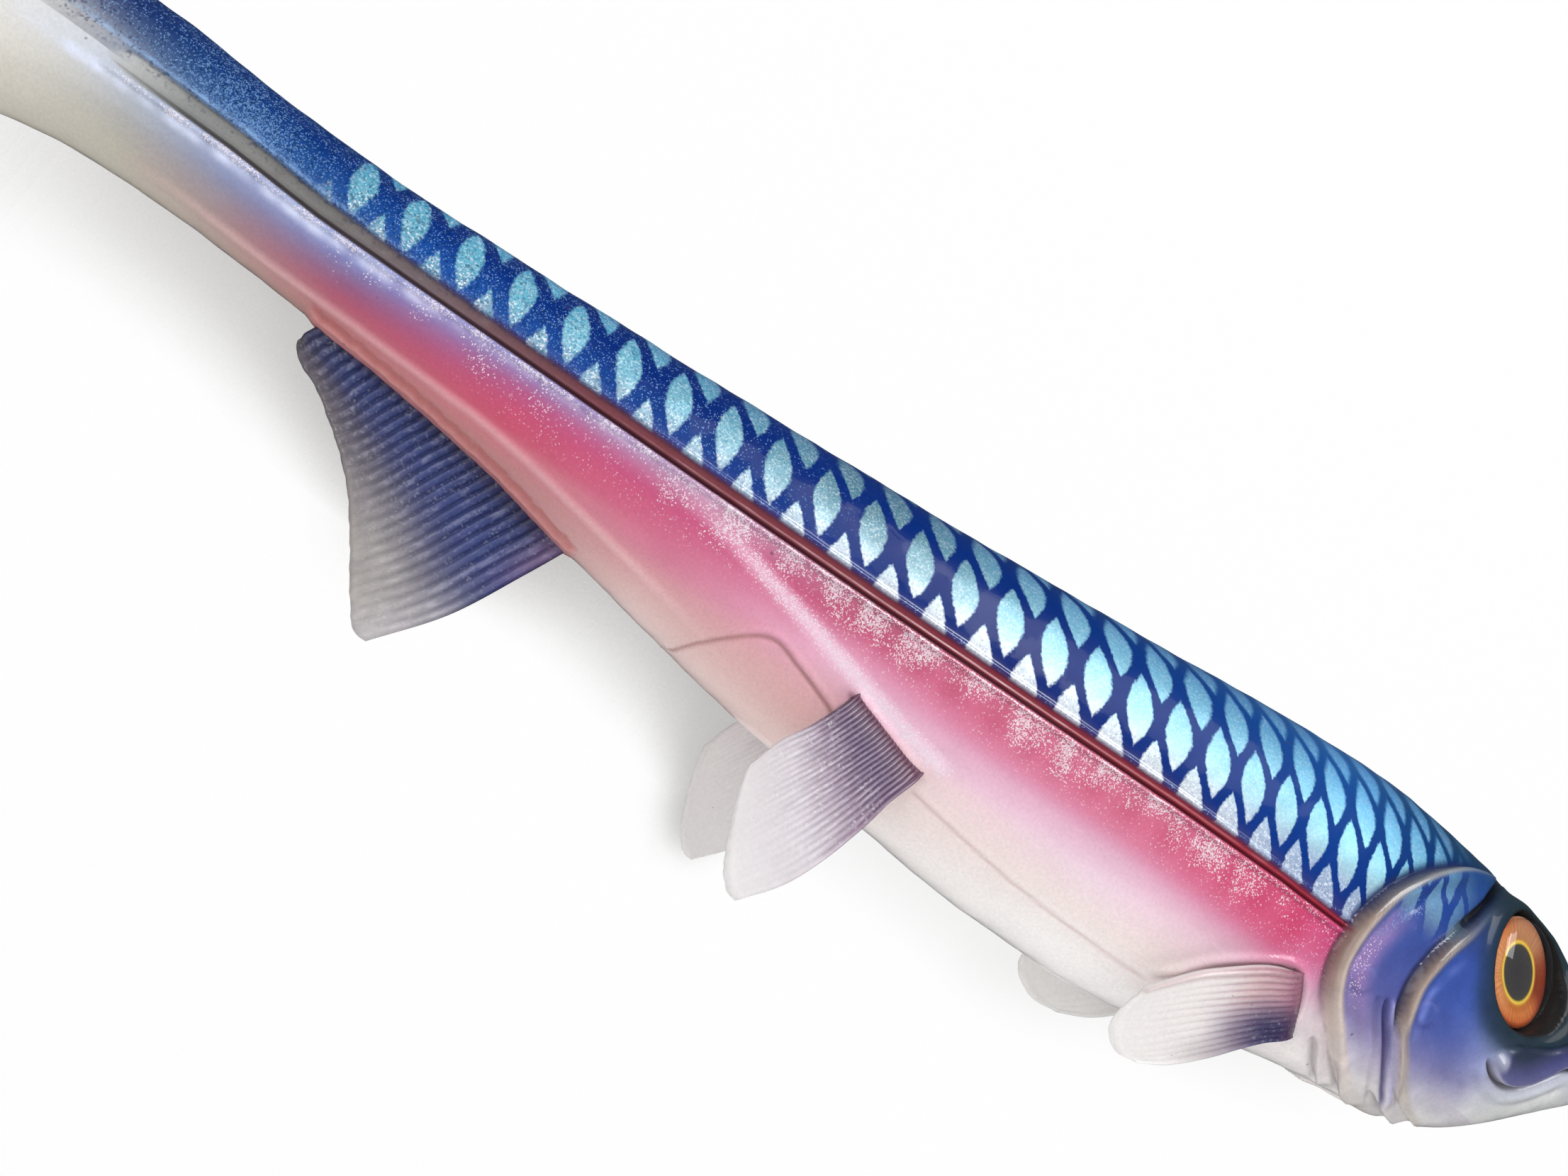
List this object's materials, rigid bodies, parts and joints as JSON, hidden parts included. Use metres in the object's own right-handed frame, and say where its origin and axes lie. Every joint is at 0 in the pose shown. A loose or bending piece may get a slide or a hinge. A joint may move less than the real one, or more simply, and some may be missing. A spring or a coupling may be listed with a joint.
{
  "type": "paddle-tail swimbait",
  "caption": "Soft-plastic fish lure with a bending body, flexing fins, domed glued-in eyes and a kicking paddle tail; cast and retrieved on a line to imitate a swimming baitfish.",
  "frame": {"origin": "middle of the flat tip of the nose, on the plane of symmetry", "axes": "+X from tail to nose along the body, +Z to the back, +Y to the lure's left"},
  "size_m": [0.2303, 0.03, 0.052],
  "materials": {
    "body_skin": "glossy cast soft plastic, blue back with a pale diamond scale print, pink flank, pearl belly",
    "fin_skin": "translucent glossy soft plastic with moulded rays, dark at the root and clear towards the edge",
    "eye_foil": "printed foil disc, orange iris, thin yellow ring, dark pupil",
    "eye_lens": "clear domed resin",
    "keel_weight": "plain grey metal, hidden in the body"
  },
  "bodies": {
    "front": {"head_and_shoulders": "body_skin", "eye_foil_left": "eye_foil", "eye_foil_right": "eye_foil", "eye_lens_left": "eye_lens", "eye_lens_right": "eye_lens", "keel_ballast": "keel_weight"},
    "middle": {"mid_body": "body_skin"},
    "rear": {"rear_body": "body_skin"},
    "stem": {"tail_stem": "body_skin"},
    "paddle": {"tail_paddle": "body_skin"},
    "pectoral_left": {"pectoral_fin_left": "fin_skin"},
    "pectoral_right": {"pectoral_fin_right": "fin_skin"},
    "pelvic_left": {"pelvic_fin_left": "fin_skin"},
    "pelvic_right": {"pelvic_fin_right": "fin_skin"},
    "anal": {"anal_fin": "fin_skin"}
  },
  "joints": [
    {"name": "bend_shoulder", "type": "hinge", "parent": "front", "child": "middle", "pos_m": [-0.076, 0, -0.008], "axis": [0, 0, 1], "range_deg": [-11, 11], "stiffness_Nm_per_rad": 0.6},
    {"name": "bend_middle", "type": "hinge", "parent": "middle", "child": "rear", "pos_m": [-0.124, 0, -0.008], "axis": [0, 0, 1], "range_deg": [-13, 13], "stiffness_Nm_per_rad": 0.35},
    {"name": "bend_tail", "type": "hinge", "parent": "rear", "child": "stem", "pos_m": [-0.168, 0, -0.008], "axis": [0, 0, 1], "range_deg": [-17, 17], "stiffness_Nm_per_rad": 0.15},
    {"name": "bend_wrist", "type": "hinge", "parent": "stem", "child": "paddle", "pos_m": [-0.198, 0, -0.008], "axis": [0, 0, 1], "range_deg": [-28, 28], "stiffness_Nm_per_rad": 0.06},
    {"name": "anal_fin_sway", "type": "hinge", "parent": "rear", "child": "anal", "pos_m": [-0.1495, 0, -0.01765], "axis": [0.9927, 0, -0.1204], "range_deg": [-25, 25], "stiffness_Nm_per_rad": 0.003},
    {"name": "pelvic_right_flare", "type": "hinge", "parent": "middle", "child": "pelvic_right", "pos_m": [-0.0962, -0.0104, -0.0168], "axis": [-0.9642, -0.0189, 0.2647], "range_deg": [-12, 30], "stiffness_Nm_per_rad": 0.002},
    {"name": "pelvic_left_flare", "type": "hinge", "parent": "middle", "child": "pelvic_left", "pos_m": [-0.0962, 0.0104, -0.0168], "axis": [0.9642, -0.0189, -0.2647], "range_deg": [-12, 30], "stiffness_Nm_per_rad": 0.002},
    {"name": "pectoral_right_flare", "type": "hinge", "parent": "front", "child": "pectoral_right", "pos_m": [-0.0437, -0.01105, -0.01485], "axis": [-0.5832, -0.4316, 0.6882], "range_deg": [-4, 35], "stiffness_Nm_per_rad": 0.002},
    {"name": "pectoral_left_flare", "type": "hinge", "parent": "front", "child": "pectoral_left", "pos_m": [-0.0437, 0.01105, -0.01485], "axis": [0.5832, -0.4316, -0.6882], "range_deg": [-4, 35], "stiffness_Nm_per_rad": 0.002}
  ]
}
